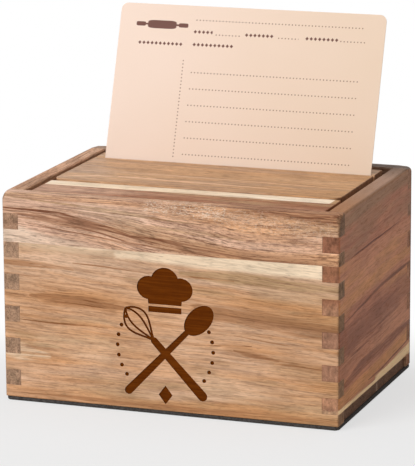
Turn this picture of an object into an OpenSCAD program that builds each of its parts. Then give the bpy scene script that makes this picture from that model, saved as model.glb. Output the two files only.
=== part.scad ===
// Recipe card box: finger-jointed walls of edge-glued boards on a dark felt pad, a lid on
// two hidden pins, and a slanted groove across the lid that stands one card up to be read.
// Millimetres. The origin is on the table under the middle of the box, +X to the right,
// +Y to the back, +Z up.

/* [Box] */
// Outside width of the box, left to right
box_w = 154; // [146:1:220]
// Outside depth of the box, front to back
box_d = 110; // [96:1:170]
// Height of the rim above the table
box_h = 93.8; // [84:0.2:130]
// Thickness of the four walls
wall_t = 7.5; // [6.5:0.5:10]
// Radius of the two rear corners, seen from above
rear_corner_r = 2.4; // [1:0.2:5]
// Radius along the walls' outer edges where they stand on the pad
foot_r = 0.6; // [0.2:0.1:3]
// Radius along all the other outer edges
edge_r = 1.2; // [0.4:0.2:3]
// Width of the chamfer around the inside of the rim
rim_chamfer = 0.5; // [0.2:0.1:1.2]

/* [Wall boards] */
// Height of the upper board that is glued along the top of each wall
upper_board_h = 22; // [20:0.5:30]

/* [Base] */
// Thickness of the base board, and height of the side walls above the foot of the others
base_t = 5.4; // [4:0.2:8]
// How far the ends of the base board stay inside the outer faces of the side walls
base_inset = 1; // [0:0.25:3]
// Thickness of the felt pad under the walls and the base
pad_t = 1.8; // [1.6:0.1:4]
// How far the pad stays inside the outer faces of the walls
pad_inset = 0.2; // [0:0.1:3]
// Radius of the pad's corners, seen from above
pad_corner_r = 2.4; // [1:0.2:6]

/* [Box joints] */
// Number of side-wall fingers in the lower boards
lower_fingers = 5; // [2:1:6]
// Height of each side-wall finger
finger_h = 7; // [4:0.25:8]
// Height of the upper board's finger above the glue line
upper_finger_lift = 5.7; // [2:0.1:9]
// Play all round each finger, filled with glue
finger_play = 0.05; // [0:0.01:0.2]

/* [Front rail] */
// Depth of the front stave, which is glued to the front wall
rail_front_d = 17.4; // [8:0.2:24]
// Depth of the pale rear stave, without its tongue
rail_rear_d = 8.1; // [5:0.1:14]
// Thickness of the rail
rail_t = 9; // [7:0.25:11]
// Depth of the rail's top below the rim
rail_drop = 0.7; // [0:0.1:2]
// Gap at each end of the rail
rail_end_gap = 2.3; // [0.5:0.1:5]
// Length of the tongue that the lid rests on
tongue_d = 5; // [3:0.25:9]
// Thickness of the tongue
tongue_t = 4.3; // [2.5:0.1:6]

/* [Lid] */
// Thickness of the lid
lid_t = 9.5; // [9:0.25:12]
// Gap between the lid and each side wall
lid_side_gap = 2.9; // [1:0.1:5]
// Gap between the lid and the rear wall
lid_rear_gap = 3; // [2.6:0.1:5]
// Gap between the lid and the front rail
lid_front_gap = 0.3; // [0.3:0.1:2]
// Radius of the lid's front corners, seen from above
lid_front_corner_r = 4.5; // [2:0.5:8]
// Radius of the lid's rear corners, seen from above
lid_rear_corner_r = 3; // [1:0.5:3]
// Radius along the lid's rear edges, above and below the pins
lid_rear_edge_r = 4; // [1:0.25:4.25]
// Radius along the lid's front top edge
lid_front_edge_r = 0.8; // [0.3:0.1:1.5]
// Clearance between the lid's rebate and the end of the tongue
rebate_gap = 0.5; // [0.4:0.1:1.5]

/* [Hinge pins] */
// Diameter of the two pins
pin_d = 3; // [2:0.25:3.5]
// Distance of the pin's axis from the lid's rear edge
pin_setback = 3.8; // [3.6:0.1:6]
// Depth of the pin's axis below the lid's top
pin_drop = 5.5; // [4.5:0.1:6]
// Length of the pin in the side wall
pin_wall_l = 4.5; // [3:0.25:5.5]
// Length of the pin in the lid
pin_lid_l = 12; // [6:0.5:20]
// Chamfer at each end of the pin
pin_chamfer = 0.4; // [0.2:0.1:0.8]
// Radial play of the pin in the side wall, filled with glue
pin_glue_play = 0.02; // [0.01:0.01:0.05]
// Radial running play of the pin in the lid
pin_run_play = 0.05; // [0.02:0.01:0.1]
// Space left at the bottom of the lid's bore
pin_end_gap = 0.5; // [0.3:0.1:1.5]

/* [Card groove] */
// Lean of the groove and its card, in degrees back from upright
card_lean = 19.3; // [10:0.1:30]
// Distance of the groove's mouth from the lid's rear edge
groove_setback = 15.2; // [12:0.1:25]
// Width of the groove
groove_w = 1.6; // [1:0.1:2.5]
// Length of card that the groove takes in, measured along its lean
groove_depth = 3.9; // [3:0.1:5]

/* [Card] */
// Width of the card
card_w = 127; // [100:1:132]
// Height of the card
card_h = 76.2; // [50:0.1:110]
// Thickness of the card
card_t = 0.4; // [0.2:0.1:0.8]
// Radius of the card's corners
card_r = 3.2; // [1:0.1:6]
// Distance of the card to the right of the box's middle
card_shift = 1.4; // [-5:0.1:5]
// Gap between the card and the groove's rear face
card_play = 0.1; // [0.05:0.05:0.4]

/* [Hidden] */

$fn = 64;
// Overshoot of a cutting tool past the face that it leaves
past = 1;

// Inside of the box
inner_w = box_w - 2 * wall_t;
inner_d = box_d - 2 * wall_t;

// Walls: their foot on the pad, and the glue line between the lower and the upper boards
foot_z = pad_t;
side_low_z = foot_z + base_t;
glue_z = box_h - upper_board_h;
finger_pitch = (glue_z - side_low_z - finger_h) / (lower_fingers - 1);
lower_finger_zs = [for (i = [0:lower_fingers - 1]) side_low_z + i * finger_pitch];
upper_finger_zs = [glue_z + upper_finger_lift];

// Front rail
rail_w = inner_w - 2 * rail_end_gap;
rail_front_y = -inner_d / 2;
stave_joint_y = rail_front_y + rail_front_d;
rail_rear_y = stave_joint_y + rail_rear_d;
rail_top_z = box_h - rail_drop;
rail_low_z = rail_top_z - rail_t;
tongue_top_z = rail_low_z + tongue_t;

// Lid, flush with the rim
lid_w = inner_w - 2 * lid_side_gap;
lid_front_y = rail_rear_y + lid_front_gap;
lid_rear_y = inner_d / 2 - lid_rear_gap;
lid_low_z = box_h - lid_t;
rebate_y = rail_rear_y + tongue_d + rebate_gap;

// Hinge pins
pin_y = lid_rear_y - pin_setback;
pin_z = box_h - pin_drop;
pin_l = pin_wall_l + lid_side_gap + pin_lid_l;
pin_outer_x = inner_w / 2 + pin_wall_l;

// Card groove
groove_y = lid_rear_y - groove_setback;

// A flat outline, centred left to right and standing on y = 0, with separate radii for
// its two lower and its two upper corners
module outline(w, h, low_r, high_r) {
    translate([-w / 2, low_r])
        square([w, h - low_r - high_r]);
    translate([-w / 2 + low_r, 0])
        square([w - 2 * low_r, h / 2]);
    translate([-w / 2 + high_r, h / 2])
        square([w - 2 * high_r, h / 2]);
    for (side = [-1, 1]) {
        translate([side * (w / 2 - low_r), low_r])
            circle(low_r);
        translate([side * (w / 2 - high_r), h - high_r])
            circle(high_r);
    }
}

// The outside of the walls, as one block with its edges rounded
module box_block() {
    translate([0, 0, foot_z])
        intersection() {
            translate([0, -box_d / 2, 0])
                linear_extrude(box_h - foot_z)
                    outline(box_w, box_d, edge_r, rear_corner_r);
            rotate([90, 0, 0])
                linear_extrude(box_d, center = true)
                    outline(box_w, box_h - foot_z, foot_r, edge_r);
            rotate([90, 0, 90])
                linear_extrude(box_w, center = true)
                    outline(box_d, box_h - foot_z, foot_r, edge_r);
        }
}

// The mouth of the box, cut out of the rim with a chamfer all round
module rim_mouth() {
    for (turn = [0, 90]) {
        span = turn == 0 ? inner_d : inner_w;
        run = turn == 0 ? inner_w : inner_d;
        for (side = [-1, 1])
            rotate(turn)
                translate([0, side * span / 2, box_h])
                    rotate([45, 0, 0])
                        cube([run, rim_chamfer * sqrt(2), rim_chamfer * sqrt(2)], center = true);
    }
}

// Bars as long as the box is deep, where the right side wall's fingers go through the
// front and the back wall
module finger_bars(zs, play) {
    for (z = zs)
        translate([inner_w / 2 - play, -box_d / 2 - play, z - play])
            cube([wall_t + 2 * play, box_d + 2 * play, finger_h + 2 * play]);
}

// A board of the front wall (side = -1) or the back wall (side = 1) from z_low to z_high,
// with the notches for the side walls' fingers
module cross_board(side, z_low, z_high, zs) {
    difference() {
        intersection() {
            translate([-box_w / 2, side * (inner_d + wall_t) / 2 - wall_t / 2, z_low])
                cube([box_w, wall_t, z_high - z_low]);
            box_block();
        }
        for (end = [0, 1])
            mirror([end, 0, 0])
                finger_bars(zs, finger_play);
        rim_mouth();
    }
}

// A right side wall board from z_low to z_high, with its fingers
module side_board(z_low, z_high, zs) {
    difference() {
        intersection() {
            union() {
                translate([inner_w / 2, -inner_d / 2, z_low])
                    cube([wall_t, inner_d, z_high - z_low]);
                finger_bars(zs, 0);
            }
            box_block();
        }
        rim_mouth();
    }
}

// The side wall's upper board, bored for the pin
module bored_side_board() {
    difference() {
        side_board(glue_z, box_h, upper_finger_zs);
        translate([inner_w / 2 - past, pin_y, pin_z])
            rotate([0, 90, 0])
                cylinder(h = pin_wall_l + past, r = pin_d / 2 + pin_glue_play);
    }
}

module front_lower_board() {
    color("#c79d78")
        cross_board(-1, foot_z, glue_z, lower_finger_zs);
}

module front_upper_board() {
    color("#bd8a6b")
        cross_board(-1, glue_z, box_h, upper_finger_zs);
}

module back_lower_board() {
    color("#b98c68")
        cross_board(1, foot_z, glue_z, lower_finger_zs);
}

module back_upper_board() {
    color("#ad7d5e")
        cross_board(1, glue_z, box_h, upper_finger_zs);
}

module right_lower_board() {
    color("#8d5f49")
        side_board(side_low_z, glue_z, lower_finger_zs);
}

module right_upper_board() {
    color("#84604a")
        bored_side_board();
}

module left_lower_board() {
    color("#96674e")
        mirror([1, 0, 0])
            side_board(side_low_z, glue_z, lower_finger_zs);
}

module left_upper_board() {
    color("#a57b62")
        mirror([1, 0, 0])
            bored_side_board();
}

// The base lies between the front and back walls and runs out under the side walls
module base_board() {
    color("#5a4438")
        translate([-box_w / 2 + base_inset, -inner_d / 2, foot_z])
            cube([box_w - 2 * base_inset, inner_d, base_t]);
}

module base_pad() {
    color("#3c3a38")
        translate([0, pad_inset - box_d / 2, 0])
            linear_extrude(pad_t)
                outline(box_w - 2 * pad_inset, box_d - 2 * pad_inset, pad_corner_r, pad_corner_r);
}

module rail_front_stave() {
    color("#a8745c")
        translate([-rail_w / 2, rail_front_y, rail_low_z])
            cube([rail_w, rail_front_d, rail_t]);
}

// The pale rear stave, with the tongue that carries the lid's front edge
module rail_rear_stave() {
    color("#ecd7b4") {
        translate([-rail_w / 2, stave_joint_y, rail_low_z])
            cube([rail_w, rail_rear_d, rail_t]);
        translate([-rail_w / 2, stave_joint_y, rail_low_z])
            cube([rail_w, rail_rear_d + tongue_d, tongue_t]);
    }
}

// The pin on the right, glued in the side wall and running in the lid
module hinge_pin() {
    color("#b9b4aa")
        translate([pin_outer_x, pin_y, pin_z])
            rotate([0, -90, 0])
                rotate_extrude()
                    polygon([
                        [0, 0],
                        [pin_d / 2 - pin_chamfer, 0],
                        [pin_d / 2, pin_chamfer],
                        [pin_d / 2, pin_l - pin_chamfer],
                        [pin_d / 2 - pin_chamfer, pin_l],
                        [0, pin_l],
                    ]);
}

module hinge_pin_right() {
    hinge_pin();
}

module hinge_pin_left() {
    mirror([1, 0, 0])
        hinge_pin();
}

// The lid's section, front to back, with y across the page and z up it
module lid_section() {
    difference() {
        translate([lid_front_y, lid_low_z])
            square([lid_rear_y - lid_front_y, lid_t]);
        // Rebate over the rail's tongue
        translate([lid_front_y - past, lid_low_z - past])
            square([rebate_y - lid_front_y + past, tongue_top_z - lid_low_z + past]);
        edge_cut(lid_front_y, box_h, lid_front_edge_r, -1, 1);
        edge_cut(lid_rear_y, box_h, lid_rear_edge_r, 1, 1);
        edge_cut(lid_rear_y, lid_low_z, lid_rear_edge_r, 1, -1);
    }
}

// What rounding takes off a square corner at x, y, which points along sx, sy
module edge_cut(x, y, r, sx, sy) {
    translate([x - sx * r, y - sy * r])
        difference() {
            scale([sx, sy])
                square(r + past);
            circle(r);
        }
}

// The lid's outline from above
module lid_plan() {
    translate([0, lid_front_y])
        outline(lid_w, lid_rear_y - lid_front_y, lid_front_corner_r, lid_rear_corner_r);
}

// Moves a flat thing that stands on the groove's floor to its place in the lid: its x
// runs across the box, its y up along the lean and its z out of the card's face
module in_groove() {
    translate([0, groove_y, box_h])
        rotate([90 - card_lean, 0, 0])
            translate([0, -groove_depth, 0])
                children();
}

module lid_board() {
    color("#b98f68")
        difference() {
            intersection() {
                rotate([90, 0, 90])
                    linear_extrude(lid_w, center = true)
                        lid_section();
                translate([0, 0, lid_low_z])
                    linear_extrude(lid_t)
                        lid_plan();
            }
            in_groove()
                translate([-lid_w / 2 - past, 0, -groove_w / 2])
                    cube([lid_w + 2 * past, groove_depth + lid_t, groove_w]);
            for (side = [0, 1])
                mirror([side, 0, 0])
                    translate([lid_w / 2 - pin_lid_l - pin_end_gap, pin_y, pin_z])
                        rotate([0, 90, 0])
                            cylinder(h = pin_lid_l + pin_end_gap + past, r = pin_d / 2 + pin_run_play);
        }
}

// The card stands on the groove's floor and leans back against its rear face
module recipe_card() {
    color("#f0dcc8")
        in_groove()
            translate([card_shift, 0, card_play - groove_w / 2])
                linear_extrude(card_t)
                    outline(card_w, card_h, card_r, card_r);
}

front_lower_board();
front_upper_board();
back_lower_board();
back_upper_board();
left_lower_board();
left_upper_board();
right_lower_board();
right_upper_board();
base_board();
base_pad();
rail_front_stave();
rail_rear_stave();
hinge_pin_left();
hinge_pin_right();
lid_board();
recipe_card();
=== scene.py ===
"""Recipe card box of edge-glued acacia boards, with box joints, a pinned lid and one card in its groove."""
import math
from dataclasses import dataclass, field
from itertools import product

import bmesh
import bpy
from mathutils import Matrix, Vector


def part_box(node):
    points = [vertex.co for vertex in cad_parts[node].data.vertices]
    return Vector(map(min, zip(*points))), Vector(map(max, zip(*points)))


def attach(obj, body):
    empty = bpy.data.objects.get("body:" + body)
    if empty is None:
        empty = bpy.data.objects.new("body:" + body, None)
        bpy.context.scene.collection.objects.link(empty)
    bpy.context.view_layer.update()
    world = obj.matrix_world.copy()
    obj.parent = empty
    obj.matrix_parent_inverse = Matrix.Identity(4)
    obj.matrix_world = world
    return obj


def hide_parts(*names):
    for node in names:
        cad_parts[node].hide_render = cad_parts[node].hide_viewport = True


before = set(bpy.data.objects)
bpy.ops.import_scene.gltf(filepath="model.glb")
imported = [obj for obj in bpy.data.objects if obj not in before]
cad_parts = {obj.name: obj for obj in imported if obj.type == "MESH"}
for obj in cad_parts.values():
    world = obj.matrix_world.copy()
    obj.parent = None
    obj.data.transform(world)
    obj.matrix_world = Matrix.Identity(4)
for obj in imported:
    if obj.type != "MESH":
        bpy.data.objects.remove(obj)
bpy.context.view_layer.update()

# One millimetre, in metres
MM = 0.001

# Camera: its place in metres, its turn in degrees and its focal length in pixels of a 466 pixel high picture
CAMERA_AT = (0.4509, -1.2488, 0.3740)
CAMERA_TURN = (77.064, 0.322, 19.849)
CAMERA_FOCAL_PX = 3063.8
CAMERA_NEAR, CAMERA_FAR = 0.01, 20
PICTURE_H_PX = 466
SENSOR_MM = 36

# Lamps, in metres and watts, which all aim at the middle of the box, and how bright the room is
AIM = (0, 0, 0.05)
KEY_AT, KEY_SIZE, KEY_WATTS = (-0.75, -1.45, 1.25), 1.1, 28
TOP_AT, TOP_SIZE, TOP_WATTS = (0.1, 0.25, 1.6), 1.0, 5
ROOM_LEVEL = 0.30

# Floor: its level just under the pad, its radius, sides and tone, how bright the backdrop laid over it is
# near the box and how much it covers there, and where around a point before the box it is all white
FLOOR_Z = -0.05 * MM
FLOOR_R, FLOOR_SIDES = 4.0, 96
FLOOR_TONE = (240, 240, 240)
NEAR_LEVEL, NEAR_SHARE = 0.86, 0.74
FADE_ABOUT = (0.02, -0.10, 0)
FADE_FROM, FADE_TO = 0.135, 0.24

# Meshes: how near corners are welded, the angles from which faces aren't flat, edges are eased and edges
# stay sharp, and how much the edges of a wall board, the rail, the lid and the pad are eased, in mm
WELD = 0.001 * MM
FLAT_ANGLE, EASED_ANGLE, SHARP_ANGLE = math.radians(0.5), math.radians(30), math.radians(50)
JOINT_EASE, RAIL_EASE, LID_EASE, PAD_EASE = 0.12, 0.3, 0.35, 0.6

# The rim's outer corners: their radius in mm, and the turns and rises of the cuts in degrees
CORNER_ROUND = 2.5
CORNER_TURNS = (15, 45, 75)
CORNER_RISES = (20, 45, 70)

# Height of the walls' foot, from which the marks in the boards' faces are measured, in mm
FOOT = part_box("front_lower_board")[0].z / MM

# Wood under oil and wax hardly mirrors
WOOD_IOR = 1.15

# Where along a board its flecks change, up it its end grain and along it its rim, in mm, and how strong
# the rim's tint is. The rim's tint is laid on its top, and its dark last part is painted shade at the box's
# rear right corner
FLECKS_CHANGE = (-40, 20)
END_CHANGES = (50, 56)
RIM_CHANGES = ((-45, 0), (20, 46))
RIM_SHARE = 0.65

# How far back in metres the painted shade on the side walls' rear edges begins and is full, and how dark it
# gets
REAR_EDGE_SHADED = (0.0510, 0.0535)
REAR_EDGE_SHADE = 0.85

# Between which values of a face's normal, in X, Z and Y, it comes to count as turned sideways, up and to
# the front
SIDEWAYS = (0.3, 0.7)
UPWARD = (0.5, 0.9)
FRONTWARD = (-0.5, -0.3)

# How far the tint along an edge reaches, in mm, and its strength: a rub which, where pale, also paints a
# highlight on the rounded edge and, where dark, its shade
RUB_REACH, RUB = 0.5, 0.3

# How thin a vein's ends are, against its middle
TAPER = 0.3

# Turns that bring a board's grain to X and its face to the XZ plane
GRAIN_X = (0, 0, 0)
GRAIN_Y = (0, 0, -math.pi / 2)
GRAIN_X_FLAT = (math.pi / 2, 0, 0)


def srgb(red, green, blue):
    """A linear colour from screen values of 0 to 255."""
    return tuple(
        (v / 255 / 12.92) if v <= 10 else ((v / 255 + 0.055) / 1.055) ** 2.4
        for v in (red, green, blue)
    ) + (1,)


class Tree:
    """A node tree being built, with a short call for each kind of node."""

    def __init__(self, tree):
        self.tree = tree

    def put(self, kind, inputs=None, **settings):
        node = self.tree.nodes.new("ShaderNode" + kind)
        for name, value in settings.items():
            setattr(node, name, value)
        for key, value in (inputs or {}).items():
            self.feed(node.inputs[key], value)
        return node

    def feed(self, socket, value):
        if isinstance(value, bpy.types.NodeSocket):
            self.tree.links.new(value, socket)
        else:
            socket.default_value = value

    def math(self, operation, *values):
        return self.put("Math", dict(enumerate(values)), operation=operation).outputs[0]

    def times(self, *values):
        return self.math("MULTIPLY", *values)

    def times_plus(self, *values):
        return self.math("MULTIPLY_ADD", *values)

    def plus(self, *values):
        return self.math("ADD", *values)

    def minus(self, *values):
        return self.math("SUBTRACT", *values)

    def larger(self, *values):
        return self.math("MAXIMUM", *values)

    def vector(self, operation, *values):
        node = self.put("VectorMath", dict(enumerate(values)), operation=operation)
        return node.outputs["Value" if operation in ("LENGTH", "DOT_PRODUCT") else "Vector"]

    def scale(self, vector, factor):
        return self.put("VectorMath", {"Vector": vector, "Scale": factor}, operation="SCALE").outputs[0]

    def split(self, vector):
        return self.put("SeparateXYZ", {0: vector}).outputs[:]

    def join(self, x, y, z):
        return self.put("CombineXYZ", {0: x, 1: y, 2: z}).outputs[0]

    def noise(self, point, scale, detail=2, roughness=0.5, output=0):
        stretched = self.vector("MULTIPLY", point, scale)
        inputs = {"Vector": stretched, "Scale": 1, "Detail": detail, "Roughness": roughness}
        return self.put("TexNoise", inputs).outputs[output]

    def step(self, value, low, high, start=0, end=1):
        """start below low, end above high and an even curve between."""
        inputs = {"Value": value, 1: low, 2: high, 3: start, 4: end}
        return self.put("MapRange", inputs, interpolation_type="SMOOTHSTEP").outputs[0]

    def clamp(self, value):
        return self.put("Clamp", {"Value": value}).outputs[0]

    def line(self, value, width):
        """1 where value passes 0.5, which draws a crisp line of about that width."""
        off = self.math("ABSOLUTE", self.minus(value, 0.5))
        return self.step(off, 0, width, 1, 0)

    def blend(self, share, first, second):
        inputs = {0: share, 6: first, 7: second}
        return self.put("Mix", inputs, data_type="RGBA").outputs[2]

    def tone(self, colour, factor):
        """A colour made lighter or darker."""
        return self.scale(colour if isinstance(colour, bpy.types.NodeSocket) else colour[:3], factor)

    def place_in_mm(self):
        return self.scale(self.put("TexCoord").outputs["Object"], 1 / MM)

    def seen(self):
        """1 for what looks at a surface, straight or by gloss or glass, and 0 for what it lights."""
        rays = self.put("LightPath").outputs
        mirrored = self.larger(rays["Is Glossy Ray"], rays["Is Transmission Ray"])
        return self.larger(rays["Is Camera Ray"], mirrored)

    def use(self, group, **inputs):
        node = self.tree.nodes.new("ShaderNodeGroup")
        node.node_tree = group
        for label, value in inputs.items():
            self.feed(node.inputs[label.replace("_", " ")], value)
        return node.outputs


def new_group(name, inputs, outputs):
    """A shader group with sockets listed by kind: its tree, its input sockets and its output sockets."""
    group = bpy.data.node_groups.new(name, "ShaderNodeTree")
    for way, sockets in (("INPUT", inputs), ("OUTPUT", outputs)):
        for kind, labels in sockets.items():
            for label in labels:
                group.interface.new_socket(label, in_out=way, socket_type="NodeSocket" + kind)
    have = group.nodes.new("NodeGroupInput").outputs
    give = group.nodes.new("NodeGroupOutput").inputs
    return group, Tree(group), have, give


def new_material(name):
    material = bpy.data.materials.new(name)
    material.use_nodes = True
    tree = material.node_tree
    tree.nodes.clear()
    return material, Tree(tree)


def finish_with(tree, shader):
    out = tree.put("OutputMaterial")
    tree.feed(out.inputs["Surface"], shader.outputs[0])


def finish_surface(tree, colour, roughness, height, strength, depth, **sockets):
    """Ends a material in one Principled shader, with its bump's strength and its depth in mm."""
    bump = tree.put("Bump", {"Height": height, "Strength": strength, "Distance": depth * MM})
    inputs = {"Base Color": colour, "Roughness": roughness, "Normal": bump.outputs[0], **sockets}
    finish_with(tree, tree.put("BsdfPrincipled", inputs))


def board_grain_group():
    """Where a point lies in its board, in mm: X along the grain, Y through the board, Z up from its foot.
    Figure leans, fans out, dips and wavers as the fibres do. Placed only wavers. Dip holds where along
    the board a dip starts and ends and how deep it is. End is 1 on end grain."""
    inputs = {"Vector": ["Point", "Normal", "Turn", "Log place", "Dip"],
              "Float": ["Lean", "Fan", "Dip top", "Waver"]}
    outputs = {"Vector": ["Figure", "Placed"], "Float": ["End"]}
    group, tree, have, give = new_group("board_grain", inputs, outputs)

    def turned(vector):
        return tree.put("VectorRotate", {"Vector": vector, "Rotation": have["Turn"]},
                        rotation_type="EULER_XYZ").outputs[0]

    in_mm = turned(tree.vector("SUBTRACT", tree.scale(have["Point"], 1 / MM), (0, 0, FOOT)))
    moved = tree.vector("ADD", in_mm, have["Log place"])
    long_wave = tree.noise(moved, (0.014, 0.03, 0.03), output="Color")
    short_wave = tree.noise(moved, (0.05, 0.10, 0.12), output="Color")
    swing = tree.vector("ADD", tree.vector("SUBTRACT", long_wave, (0.5, 0.5, 0.5)),
                        tree.scale(tree.vector("SUBTRACT", short_wave, (0.5, 0.5, 0.5)), 0.28))
    swing = tree.vector("MULTIPLY", tree.scale(swing, have["Waver"]), (0, 4, 4))
    along, across, up = tree.split(in_mm)
    dip_from, dip_to, dip = tree.split(have["Dip"])
    high = tree.times(tree.step(along, dip_from, dip_to, 1, 0), dip)
    below = tree.step(up, have["Dip top"], tree.minus(have["Dip top"], 9.0))
    dipped = tree.minus(up, tree.times(high, below))
    fanned = tree.times(dipped, tree.times_plus(have["Fan"], along, 1.0))
    leaned = tree.minus(fanned, tree.times(have["Lean"], along))
    figure = tree.vector("ADD", tree.join(along, across, leaned), have["Log place"])
    tree.feed(give["Figure"], tree.vector("ADD", figure, swing))
    tree.feed(give["Placed"], tree.vector("ADD", in_mm, tree.scale(swing, 0.5)))
    facing = tree.math("ABSOLUTE", tree.split(turned(have["Normal"]))[0])
    tree.feed(give["End"], tree.step(facing, 0.45, 0.9))
    return group


def streak_group():
    """A vein in the face of a board, from one point and half width to another. Strands draws it out into
    threads, and Softness is how far its edge spreads. Mask keeps the veins under it."""
    inputs = {"Vector": ["Placed", "Figure", "Start", "End"],
              "Float": ["Under", "Half at start", "Half at end", "Strength", "Strands", "Softness"]}
    group, tree, have, give = new_group("streak", inputs, {"Float": ["Mask"]})
    flat = tree.vector("MULTIPLY", have["Placed"], (1, 0, 1))
    run = tree.vector("SUBTRACT", have["End"], have["Start"])
    gone = tree.vector("SUBTRACT", flat, have["Start"])
    share = tree.math("DIVIDE", tree.vector("DOT_PRODUCT", gone, run), tree.vector("DOT_PRODUCT", run, run))
    share = tree.clamp(share)
    wider = tree.minus(have["Half at end"], have["Half at start"])
    half = tree.times_plus(share, wider, have["Half at start"])
    off = tree.vector("LENGTH", tree.vector("SUBTRACT", gone, tree.scale(run, share)))
    off = tree.math("DIVIDE", off, half)
    thread = tree.noise(have["Figure"], (0.03, 0.6, 1.0), 4, 0.65)
    spread = tree.times(have["Softness"], 4.5)
    frayed = tree.times_plus(tree.minus(thread, 0.5), spread, off)
    inner = tree.minus(0.85, have["Softness"])
    core = tree.step(frayed, inner, tree.plus(have["Softness"], 0.85), 1, 0)
    strand = tree.noise(have["Figure"], (0.022, 0.7, 1.0), 3, 0.6)
    lost = tree.times(have["Strands"], tree.step(strand, 0.46, 0.56, 0, 0.7))
    mask = tree.times(core, tree.minus(1.0, lost))
    mask = tree.times(mask, have["Strength"])
    tree.feed(give["Mask"], tree.larger(have["Under"], mask))
    return group


def sapwood_group():
    """Pale sapwood beyond a line across the board's face. Side is 1 above the line and -1 below it."""
    inputs = {"Vector": ["Placed", "Figure"],
              "Float": ["Line at", "Rise", "Side", "Softness", "Fade along", "Strength"]}
    group, tree, have, give = new_group("sapwood", inputs, {"Float": ["Mask"]})
    along, _, up = tree.split(have["Placed"])
    line = tree.times_plus(along, have["Rise"], have["Line at"])
    past = tree.times(tree.minus(up, line), have["Side"])
    thread = tree.noise(have["Figure"], (0.03, 0.5, 0.8), 3, 0.6)
    past = tree.plus(past, tree.times(tree.minus(thread, 0.5), have["Softness"]))
    edge = tree.math("DIVIDE", past, have["Softness"])
    held = tree.clamp(tree.times_plus(along, have["Fade along"], have["Strength"]))
    tree.feed(give["Mask"], tree.times(tree.step(edge, -0.5, 0.5), held))
    return group


def acacia_group():
    """Oiled acacia: broad zones of three tints with rings, lines, threads, hairs, pores and flecks, and
    veins, stains, pale sapwood and curly glints laid in. Drift turns it warmer for each mm along it."""
    inputs = {"Vector": ["Figure", "Placed"],
              "Color": ["Pale", "Warm", "Cool", "Deep", "Cream", "End tint"],
              "Float": ["End", "Vein", "Stain", "Sap", "Curly", "Fleck", "Contrast", "Drift"]}
    outputs = {"Color": ["Color"], "Float": ["Roughness", "Height"]}
    group, tree, have, give = new_group("acacia", inputs, outputs)

    # Patterns, stretched along the grain
    point = have["Figure"]
    elsewhere = tree.vector("ADD", point, (730, 210, 590))
    zone = tree.step(tree.noise(point, (0.007, 0.05, 0.07), 2, 0.5), 0.40, 0.60)
    cast = tree.step(tree.noise(elsewhere, (0.011, 0.06, 0.085), 3, 0.6), 0.50, 0.66)
    band = tree.step(tree.noise(point, (0.012, 0.22, 0.28), 4, 0.6), 0.38, 0.62)
    thread = tree.noise(point, (0.045, 0.6, 0.8), 3, 0.6)
    hair = tree.noise(point, (0.050, 1.3, 1.6), 3, 0.6)
    contour = tree.noise(point, (0.011, 0.28, 0.36), 2, 0.5)
    gate = tree.step(tree.noise(elsewhere, (0.022, 0.10, 0.13), 2, 0.5), 0.42, 0.60)
    pore = tree.step(tree.noise(point, (0.22, 1.9, 2.0), 1, 0.5), 0.55, 0.63)
    curl = tree.noise(point, (0.07, 0.10, 0.16), 2, 0.5)
    chip = tree.noise(point, (0.45, 1.4, 1.8), 2, 0.6)
    speck = tree.noise(point, (0.5, 0.55, 0.30), 3, 0.6)
    pith = tree.vector("LENGTH", tree.vector("MULTIPLY", point, (0, 1, 1)))
    ring = tree.math("FRACT", tree.times_plus(band, 0.35, tree.math("DIVIDE", pith, 5.2)))
    late = tree.math("POWER", ring, 5.0)

    # Broad zones of tint
    along = tree.split(have["Placed"])[0]
    mixed = tree.times_plus(zone, 0.6, tree.times(band, 0.4))
    mixed = tree.times_plus(along, have["Drift"], mixed)
    colour = tree.blend(tree.clamp(mixed), have["Pale"], have["Warm"])
    stain = tree.larger(tree.times(cast, 0.6), have["Stain"])
    colour = tree.blend(stain, colour, have["Cool"])
    colour = tree.blend(have["Sap"], colour, have["Cream"])

    # Dark lines and veins, pale glints and end grain
    lines = tree.times(tree.line(contour, 0.03), tree.times_plus(gate, 0.22, 0.05))
    lines = tree.times_plus(tree.step(thread, 0.50, 0.62), 0.20, lines)
    lines = tree.times_plus(tree.step(hair, 0.51, 0.60), 0.30, lines)
    lines = tree.times_plus(late, 0.20, lines)
    figure = tree.times_plus(tree.step(chip, 0.51, 0.58), have["Fleck"], lines)
    figure = tree.times(figure, have["Contrast"])
    figure = tree.times(figure, tree.times_plus(have["Sap"], -0.6, 1.0))
    colour = tree.blend(tree.step(have["Vein"], 0, 0.45, 0, 0.6), colour, have["Warm"])
    colour = tree.blend(tree.larger(figure, have["Vein"]), colour, have["Deep"])
    squiggle = tree.line(tree.noise(point, (0.42, 0.6, 0.80), 2, 0.6), 0.045)
    glint = tree.times(tree.times(squiggle, have["Curly"]), 0.85)
    colour = tree.blend(glint, colour, have["Cream"])
    colour = tree.blend(tree.times(have["End"], 0.80), colour, have["End tint"])

    # Lightness
    level = tree.times(tree.minus(0.5, thread), 0.55)
    level = tree.times_plus(tree.minus(0.5, hair), 0.70, level)
    level = tree.times_plus(level, have["Contrast"], 1.05)
    level = tree.times(level, tree.times_plus(curl, 0.50, 0.75))
    pitted = tree.times(pore, have["Contrast"])
    level = tree.times(level, tree.times_plus(pitted, -0.30, 1.0))
    mottle = tree.times(have["End"], tree.minus(0.5, speck))
    level = tree.times(level, tree.times_plus(mottle, 1.8, 1.0))
    tree.feed(give["Color"], tree.tone(colour, level))

    # Gloss and relief
    rough = tree.times_plus(thread, 0.12, 0.42)
    rough = tree.times_plus(pore, 0.12, rough)
    tree.feed(give["Roughness"], tree.times_plus(have["End"], 0.16, rough))
    tree.feed(give["Height"], tree.times_plus(hair, -0.5, tree.times(pore, -1.0)))
    return group


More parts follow.
